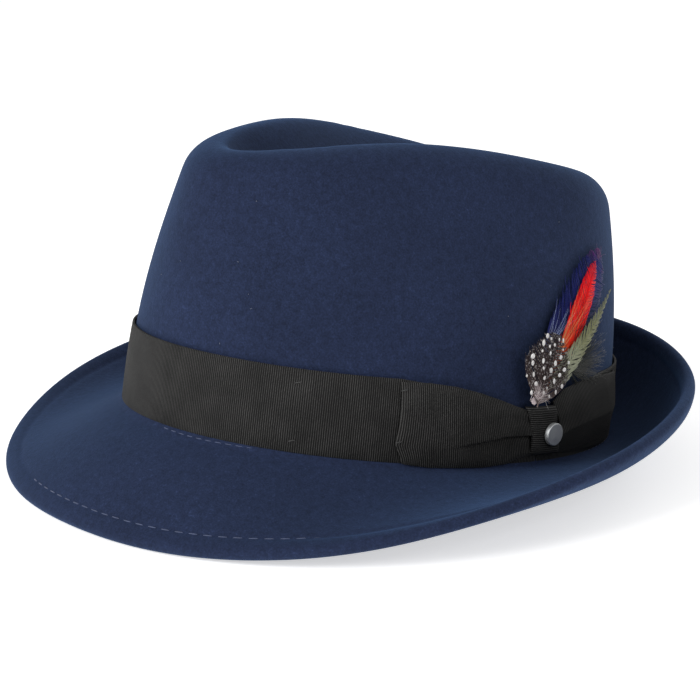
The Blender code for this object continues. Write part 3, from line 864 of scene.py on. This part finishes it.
class TRILBY_OT_bow(bpy.types.Operator):
    """Bow: two flat loops that gather into a short wrap"""

    bl_idname = "trilby.bow"
    bl_label = "Bow"

    def loop(self, name, table, side, length, relief, gain, fold=((0, 0), (1, 0))):
        """One flat loop, from its outer fold to the knot."""
        rows = np.array(table)
        outer = KNOT_DISTANCE + side * (KNOT_WIDTH / 2 + length)
        levels, shifts = np.array(fold).T

        def place(across, up):
            along = across if side < 0 else 1 - across
            low = np.interp(along, rows[:, 0], rows[:, 1]) * BAND_HEIGHT
            high = np.interp(along, rows[:, 0], rows[:, 2]) * BAND_HEIGHT
            inner = KNOT_DISTANCE + side * (KNOT_WIDTH / 2 - 1.2 * MM)
            distance = outer + (inner - outer) * along
            distance = distance + np.interp(up, levels, shifts) * MM * np.clip(1 - along * 2, 0, 1) ** 2
            clear = GAP + np.maximum(root_height(distance, TRIM_BACK + LOOP_THICKNESS), 0)
            low = low + clear + TRIM_BACK * np.minimum(root_height(distance, 1.0), 0)
            height = low + (high - low) * up
            lean = (KNOT_MIDDLE - height) / KNOT_HEIGHT * KNOT_LEAN * along
            proud = relief(along, up)
            return side_point(distance + lean, height, TRIM_BACK + proud)

        piece = grid_piece(name + "_ribbon", 81, 57, place, (length, BAND_HEIGHT), 0.9 * MM)
        wear(piece, grosgrain_material(name + "_grosgrain", gain, 0), "ribbon", name)

    def execute(self, context):
        def rounding(along, up):
            edge = 1 - np.abs(2 * up - 1) ** 7 * 0.55
            fold = 1 - np.clip(1 - along / 0.05, 0, 1) ** 3 * 0.5
            return edge * fold

        def front(along, up):
            swell = (1.75 + 0.55 * np.sin(np.pi * np.clip(along * 1.1, 0, 1))) * MM
            reach = np.clip((along - 0.30) / 0.45, 0, 1)
            reach = reach ** 2 * (3 - 2 * reach)
            crease = np.interp(along, (0.30, 0.55, 0.76, 1.0), (0.22, 0.34, 0.44, 0.45))
            under = np.clip((crease - up) / 0.02, 0, 1)
            pleat = under * np.exp(-np.clip(crease - up, 0, 1) / 0.13) * 1.75 * MM * reach
            lip = np.exp(-(np.clip(up - crease, 0, 1) / 0.16) ** 2) * (up > crease) * 1.0 * MM * reach
            gather = 0.14 * MM * np.sin(up * 23) * np.clip((along - 0.7) / 0.3, 0, 1)
            return swell * rounding(along, up) - pleat + lip + gather

        def rear(along, up):
            ridge = 0.40 + 0.16 * (1 - along)
            upper = np.clip(1 - (up - ridge) / 0.75, 0, 1)
            lower = np.clip(1 - (ridge - up) / 0.40, 0, 1)
            peak = np.minimum(upper, lower) ** 0.85 * 4.6 * MM * np.clip(along / 0.35, 0, 1) ** 0.6
            gather = 0.12 * MM * np.sin(up * 20) * np.clip((along - 0.75) / 0.25, 0, 1)
            return (0.95 * MM) * rounding(along, up) + peak * (1 - 0.15 * along ** 3) + gather

        # Front loop's ribbon at gain 1.15, lighter: painted light
        self.loop("bow_front_loop", FRONT_LOOP, -1, FRONT_LOOP_LENGTH, front, 1.15,
                  ((0, 2.2), (0.08, 1.4), (0.16, 0.2), (0.24, -0.9), (0.33, -0.6), (0.42, -0.3), (0.65, 0.1),
                   (1, -0.6)))
        # Rear loop's ribbon at gain 0.68, darker where it turns from the lamps: painted shade
        self.loop("bow_rear_loop", REAR_LOOP, 1, REAR_LOOP_LENGTH, rear, 0.68)

        def wrap(across, up):
            level = (up - 0.5) * KNOT_HEIGHT
            height = KNOT_MIDDLE + level
            pinch = 1 - 0.10 * np.cos(np.pi * (up - 0.5)) ** 2
            distance = KNOT_DISTANCE - level / KNOT_HEIGHT * KNOT_LEAN + (across - 0.5) * KNOT_WIDTH * pinch
            round_side = 1 - np.abs(2 * across - 1) ** 6 * 0.42
            round_end = 1 - np.abs(2 * up - 1) ** 10 * 0.5
            return side_point(distance, height, TRIM_BACK + KNOT_THICKNESS * round_side * round_end)

        knot = grid_piece("bow_knot_wrap", 25, 25, wrap, (KNOT_WIDTH, KNOT_HEIGHT), 1.1 * MM)
        # Knot's ribbon at gain 1.15, lighter: painted light
        wear(knot, grosgrain_material("knot_grosgrain", 1.15, 1), "ribbon", "bow_knot")
        return {"FINISHED"}


class TRILBY_OT_tacks(bpy.types.Operator):
    """Tacks: short threads that hold the loop's fold and the band"""

    bl_idname = "trilby.tacks"
    bl_label = "Tacks"

    def execute(self, context):
        fold = KNOT_DISTANCE - KNOT_WIDTH / 2 - FRONT_LOOP_LENGTH
        spots = ((fold + 0.2 * MM, 26.6 * MM, 2.1 * MM), (fold - 0.2 * MM, 8.3 * MM, 2.1 * MM),
                 (fold - 36.5 * MM, 4.6 * MM, 0.0), (fold - 36.5 * MM, 25.2 * MM, 0.0))
        threads = []
        for distance, height, proud in spots:
            here, up = seated(distance, height, proud)
            ahead = side_point(distance + MM, height + 0.3 * MM, TRIM_BACK + proud)
            threads.append((here, unit(ahead - here), up))
        tacks = stitches("tacks", *zip(*threads), 2.6 * MM, 0.42 * MM)
        wear(tacks, thread_material("tack_thread", (0.030, 0.030, 0.029)), "ribbon")
        return {"FINISHED"}


class TRILBY_OT_stud(bpy.types.Operator):
    """Stud: a plain round metal button with a softly rounded rim"""

    bl_idname = "trilby.stud"
    bl_label = "Stud"

    def execute(self, context):
        seat, out = map(Vector, seated(STUD_DISTANCE, STUD_HEIGHT, KNOT_THICKNESS + GAP))
        centre = seat + out * STUD_THICKNESS / 2
        bpy.ops.object.select_all(action="DESELECT")
        bpy.ops.mesh.primitive_cylinder_add(vertices=64, radius=STUD_RADIUS, depth=STUD_THICKNESS)
        stud = bpy.context.object
        stud.name = stud.data.name = "stud"
        bpy.ops.object.mode_set(mode="EDIT")
        bpy.ops.mesh.select_all(action="DESELECT")
        bpy.ops.object.mode_set(mode="OBJECT")
        for face in stud.data.polygons:
            face.select = face.normal.z > 0.9
        bpy.ops.object.mode_set(mode="EDIT")
        bpy.ops.mesh.inset(thickness=STUD_RADIUS * 0.12)
        bpy.ops.mesh.inset(thickness=STUD_RADIUS * 0.42)
        bpy.ops.transform.translate(value=(0, 0, 0.04 * MM))
        bpy.ops.object.mode_set(mode="OBJECT")
        add_modifier(stud, "BEVEL", width=0.25 * MM, segments=3, limit_method="ANGLE",
                     angle_limit=math.radians(50))
        stud.data.transform(Matrix.Translation(centre) @ out.to_track_quat("Z", "Y").to_matrix().to_4x4())
        wear(stud, stud_material(), "stud", "stud_pin")
        return {"FINISHED"}


class TRILBY_OT_sweatband(bpy.types.Operator):
    """Sweatband: smooth leather inside the opening, sewn along its lower edge"""

    bl_idname = "trilby.sweatband"
    bl_label = "Sweatband"

    def execute(self, context):
        length = OVAL_LENGTH
        start = OVAL_LENGTH / 2
        face = -FELT - GAP - SWEATBAND_THICKNESS

        def place(across, up):
            distance = start + across * (length - 0.4 * MM)
            soft = 0.25 * MM * np.sin(distance * 70) * up ** 2
            return side_point(distance, SWEATBAND_HEIGHT * up, face - np.abs(soft))

        band = grid_piece("sweatband_leather", 361, 8, place, (length, SWEATBAND_HEIGHT),
                          SWEATBAND_THICKNESS, inward=True)
        wear(band, leather_material(), "leather", "sweatband")
        surface = tree_of(band)
        line = side_point(np.linspace(0, OVAL_LENGTH * 0.9999, LINE_STEPS), 2.4 * MM, face)
        seam = stitched_line("sweatband_stitches", surface, line, 3.2 * MM, 2.2 * MM, 0.4 * MM,
                             lambda share: 0.05 * MM)
        wear(seam, thread_material("sweatband_thread", (0.06, 0.05, 0.045)), "leather")
        return {"FINISHED"}


class TRILBY_OT_plume(bpy.types.Operator):
    """Plume: blue, red, olive and spotted feathers with loose hairs and down"""

    bl_idname = "trilby.plume"
    bl_label = "Plume"

    def feather(self, slot, dye, rib, radius, outline, length, half_width, turn, lift, draw, *barbs,
                foot=(0.0, 0.0), **more):
        """One feather: its barbs and its rib, joined and dyed."""
        vane = feather_piece("vane", outline, length, half_width, turn, lift, draw, *barbs, foot=foot, **more)
        stem = rib_piece("stem", rib, turn, lift, radius, foot)
        wear(join(slot + "_barbs", [vane, stem]), dye, slot, slot)

    def execute(self, context):
        draw = np.random.default_rng(PLUME_SEED)
        dye = feather_material(
            "blue_dye", (0.0, (0.05, 0.04, 0.10)), (0.3, (0.018, 0.022, 0.14)),
            (0.55, (0.006, 0.012, 0.115)), (0.90, (0.008, 0.012, 0.13)), (1.0, (0.16, 0.02, 0.12)))
        self.feather("feather_blue", dye, 67.5 * MM, 0.35 * MM, BLUE_OUTLINE, 69.0 * MM, 12.0 * MM, 0.0, 0.0,
                     draw, 0.50 * MM, 0.34, 0.02, fringe=0.04, start=0.10, clump=9, gathered=0.25)
        dye = feather_material(
            "red_dye", (0.0, (0.36, 0.18, 0.06)), (0.38, (0.72, 0.10, 0.03)), (0.54, (0.92, 0.016, 0.010)),
            (0.85, (0.95, 0.004, 0.010)), (1.0, (0.50, 0.004, 0.03)))
        self.feather("feather_red", dye, 62.0 * MM, 0.3 * MM, RED_OUTLINE, 62.0 * MM, 5.8 * MM, RED_TURN,
                     LAYER_STEP, draw, 0.45 * MM, 0.30, 0.02, fringe=0.03, start=0.12, clump=7, gathered=0.15)
        dye = feather_material(
            "olive_dye", (0.0, (0.42, 0.41, 0.36)), (0.35, (0.40, 0.42, 0.30)), (0.6, (0.26, 0.27, 0.14)),
            (0.85, (0.20, 0.21, 0.13)), (1.0, (0.24, 0.25, 0.18)), freckle=0.35)
        self.feather("feather_olive", dye, 61.0 * MM, 0.3 * MM, OLIVE_OUTLINE, 61.0 * MM, 5.5 * MM, OLIVE_TURN,
                     UPPER_LAYERS, draw, 0.45 * MM, 0.20, 0.08, fringe=0.12, start=0.10, clump=6, gathered=0.75,
                     foot=OLIVE_SHIFT)
        dye = feather_material(
            "spotted_brown", (0.0, (0.16, 0.12, 0.11)), (0.3, (0.050, 0.032, 0.030)),
            (1.0, (0.022, 0.015, 0.016)), freckle=0.3, flecks=0.55)
        self.feather("feather_spotted", dye, SPOTTED_LENGTH, 0.35 * MM, SPOTTED_OUTLINE, SPOTTED_LENGTH,
                     SPOTTED_HALF_WIDTH, SPOTTED_TURN, SPOT_LAYER, draw, 0.42 * MM, 0.50, 0.04, fringe=0.06,
                     start=0.04, clump=4, gathered=0.5, foot=SPOTTED_SHIFT)
        self.spots(draw)

        # Slot, dye and its colour, piece, then how many, where from, how long, bearing, spread, lift,
        # width, curl and wave
        for slot, dye, colour, name, *how in (
                ("feather_red", "golden_hair", (0.60, 0.33, 0.11), "golden_hairs", 9, (18 * MM, -4.5 * MM),
                 34 * MM, -9, 0.16, LAYER_STEP * 2 + 0.6 * MM, 0.07 * MM, 0.20),
                ("feather_blue", "pale_blue_hair", (0.26, 0.32, 0.52), "pale_blue_hairs", 16,
                 (14 * MM, -9 * MM), 24 * MM, 0, 0.12, LAYER_STEP + 0.8 * MM, 0.08 * MM, 0.25),
                ("feather_olive", "hackle_dye", (0.007, 0.009, 0.005), "olive_hackle", 230,
                 (19 * MM, 5 * MM), 29 * MM, 40, 0.46, 1.6 * MM, 0.11 * MM, 0.30),
                ("feather_spotted", "filament_white", (0.40, 0.39, 0.38), "white_filament", 1,
                 (2.5 * MM, -1.6 * MM), 6 * MM, 125, 0.03, KNOT_THICKNESS + 0.4 * MM, 0.12 * MM, 0.3),
                ("feather_blue", "purple_hair", (0.13, 0.05, 0.14), "tip_hairs", 7, (64 * MM, 1.0 * MM),
                 8 * MM, -14, 0.35, 0.8 * MM, 0.10 * MM, 0.9),
                ("feather_spotted", "pale_down", (0.66, 0.57, 0.58), "base_down", 90,
                 (-3.2 * MM, -4.6 * MM), 10 * MM, 3, 0.24, UPPER_LAYERS + 1.4 * MM, 0.10 * MM, 0.6, 0.35)):
            wear(hairs(name, draw, *how), thread_material(dye, colour), slot)
        return {"FINISHED"}

    def spots(self, draw):
        """White spots in staggered rows across the spotted feather."""
        table = np.array(SPOTTED_OUTLINE)
        length, half = SPOTTED_LENGTH, SPOTTED_HALF_WIDTH
        shape, faces = ball(10, 5, 0.85 * MM)
        dots = []
        for row in range(SPOT_ROWS):
            for spot in range(SPOTS_PER_ROW):
                level = (2 * (spot + 0.30 + 0.40 * (row % 2)) / SPOTS_PER_ROW - 0.95) * 0.92
                along = 0.24 + 0.96 * row / (SPOT_ROWS - 1) - 0.36 * abs(level) + draw.normal(0, 0.015)
                if not 0.12 < along < 0.97:
                    continue
                side = np.interp(along, table[:, 0], table[:, 1 if level < 0 else 2])
                across = level * side * half + draw.normal(0, 0.3 * MM)
                place, way = plume_place(np.array(along * length), np.array(across), SPOTTED_TURN,
                                         SPOT_LAYER + 0.78 * MM, SPOTTED_SHIFT)
                size = draw.uniform(0.62, 1.22)
                turn = Vector(way).to_track_quat("Z", "Y").to_matrix()
                oval = (size * draw.uniform(0.65, 1.05), size * draw.uniform(0.80, 1.40), 0.22)
                dots.append(place + (shape * oval) @ np.array(turn).T)
        wear(copies("feather_spots", dots, faces), thread_material("spot_white", (0.72, 0.70, 0.69)),
             "feather_spotted")


class TRILBY_OT_lint(bpy.types.Operator):
    """Lint: a few short pale fibres caught on the felt"""

    bl_idname = "trilby.lint"
    bl_label = "Lint"

    def execute(self, context):
        draw = np.random.default_rng(LINT_SEED)
        surface = tree_of(bpy.data.objects["felt"])
        paths, outs = [], []
        for degrees, height in zip(draw.uniform(0, 360, LINT_COUNT), draw.uniform(34, 92, LINT_COUNT)):
            start = Vector(wall_point(degrees, height * MM, 0.0))
            turn, bend = draw.uniform(0, 2 * math.pi), draw.normal(0, 1.2)
            length = draw.uniform(0.2, 0.7) * MM
            place, out, _, _ = surface.find_nearest(start)
            side = out.orthogonal().normalized()
            other = out.cross(side)
            line = [place + out * 0.12 * MM]
            for step in range(5):
                angle = turn + bend * step / 5
                onward = (side * math.cos(angle) + other * math.sin(angle)) * length / 5
                line.append(line[-1] + onward)
            paths.append(line)
            outs.append([out] * 6)
        paths, outs = np.array(paths), np.array(outs)
        thin = np.full(paths.shape[:2], 0.10 * MM)
        lint = strands("lint", paths, outs, thin, thin, thin * 0, thin * 0)
        wear(lint, thread_material("pale_lint", (0.10, 0.12, 0.16)), "felt")
        return {"FINISHED"}


class TRILBY_OT_stage(bpy.types.Operator):
    """Stage: a pale floor that glows as painted light, soft studio light and the camera"""

    bl_idname = "trilby.stage"
    bl_label = "Stage"

    def light(self, name, place, size, power):
        """A soft white light at a place, turned to the hat."""
        lamp = bpy.data.lights.new(name, "AREA")
        lamp.shape = "RECTANGLE"
        lamp.size, lamp.size_y = size
        lamp.energy = power
        holder = bpy.data.objects.new(name, lamp)
        bpy.context.scene.collection.objects.link(holder)
        holder.location = place
        holder.rotation_euler = (Vector((0, 0, 0.06)) - Vector(place)).to_track_quat("-Z", "Y").to_euler()

    def execute(self, context):
        bpy.ops.object.select_all(action="DESELECT")
        bpy.ops.mesh.primitive_plane_add(size=FLOOR_SIZE)
        floor = bpy.context.object
        floor.name = floor.data.name = "floor"
        paint = Paint("pale_glowing_floor", 0.9)
        faint = paint.noise(3.0, 2.0)
        # The floor glows white: painted light that lifts its own cast shadow and lights the hat from below
        paint.shader.inputs["Emission Color"].default_value = WHITE
        paint.shader.inputs["Emission Strength"].default_value = FLOOR_GLOW
        floor.data.materials.append(paint.finish(colour=paint.ramp(
            faint, (0.3, (0.90, 0.90, 0.90)), (0.7, (0.93, 0.93, 0.93)))))

        scene = context.scene
        scene.view_settings.view_transform = "Standard"
        world = bpy.data.worlds.new("studio")
        world.use_nodes = True
        world.node_tree.nodes["Background"].inputs["Color"].default_value = WHITE
        world.node_tree.nodes["Background"].inputs["Strength"].default_value = SKY
        scene.world = world

        azimuth, elevation = CAMERA_AZIMUTH, CAMERA_ELEVATION
        back = Vector((math.sin(azimuth) * math.cos(elevation), -math.cos(azimuth) * math.cos(elevation),
                       math.sin(elevation)))
        right = Vector((math.cos(azimuth), math.sin(azimuth), 0.0))
        up = back.cross(right)
        target = Vector(REST_PLACE) + right * AIM_RIGHT + up * AIM_UP
        flat_back = Vector((back.x, back.y, 0)).normalized()
        self.light("key", flat_back * 1.0 - right * 1.5 + Vector((0, 0, 1.0)), (1.0, 1.0), KEY)
        self.light("fill", flat_back * 1.3 + right * 1.2 + Vector((0, 0, 0.9)), (1.0, 1.0), FILL)
        self.light("rim", -flat_back * 1.3 + right * 1.2 + Vector((0, 0, 0.8)), (0.9, 0.7), RIM)

        lens = bpy.data.cameras.new("camera")
        lens.sensor_width = SENSOR_WIDTH
        lens.lens = CAMERA_FOCUS * SENSOR_WIDTH / PICTURE_WIDTH
        camera = bpy.data.objects.new("camera", lens)
        scene.collection.objects.link(camera)
        camera.location = target + back * CAMERA_DISTANCE
        camera.rotation_euler = Matrix((right, up, back)).transposed().to_euler()
        scene.camera = camera
        return {"FINISHED"}


PIECES = ("stage", "felt", "stitching", "band", "bow", "tacks", "stud", "sweatband", "plume", "lint")


class TRILBY_PT_panel(bpy.types.Panel):
    """Lists the hat's pieces and sizes"""

    bl_idname = "TRILBY_PT_panel"
    bl_label = "Trilby"
    bl_space_type = "VIEW_3D"
    bl_region_type = "UI"
    bl_category = "Trilby"

    def draw(self, context):
        for name in TrilbySettings.__annotations__:
            self.layout.prop(context.scene.trilby, name)
        for piece in PIECES:
            self.layout.operator("trilby." + piece)


CLASSES = (TrilbySettings, TRILBY_OT_felt, TRILBY_OT_stitching, TRILBY_OT_band, TRILBY_OT_bow, TRILBY_OT_tacks,
           TRILBY_OT_stud, TRILBY_OT_sweatband, TRILBY_OT_plume, TRILBY_OT_lint, TRILBY_OT_stage,
           TRILBY_PT_panel)


def register():
    """Registers the classes and hangs the settings on the scene."""
    for item in CLASSES:
        bpy.utils.register_class(item)
    bpy.types.Scene.trilby = PointerProperty(type=TrilbySettings)


def unregister():
    """Takes the settings and the classes away again."""
    del bpy.types.Scene.trilby
    for item in reversed(CLASSES):
        bpy.utils.unregister_class(item)


def main():
    """Makes every piece in order."""
    register()
    for piece in PIECES:
        getattr(bpy.ops.trilby, piece)()


if __name__ == "__main__":
    main()
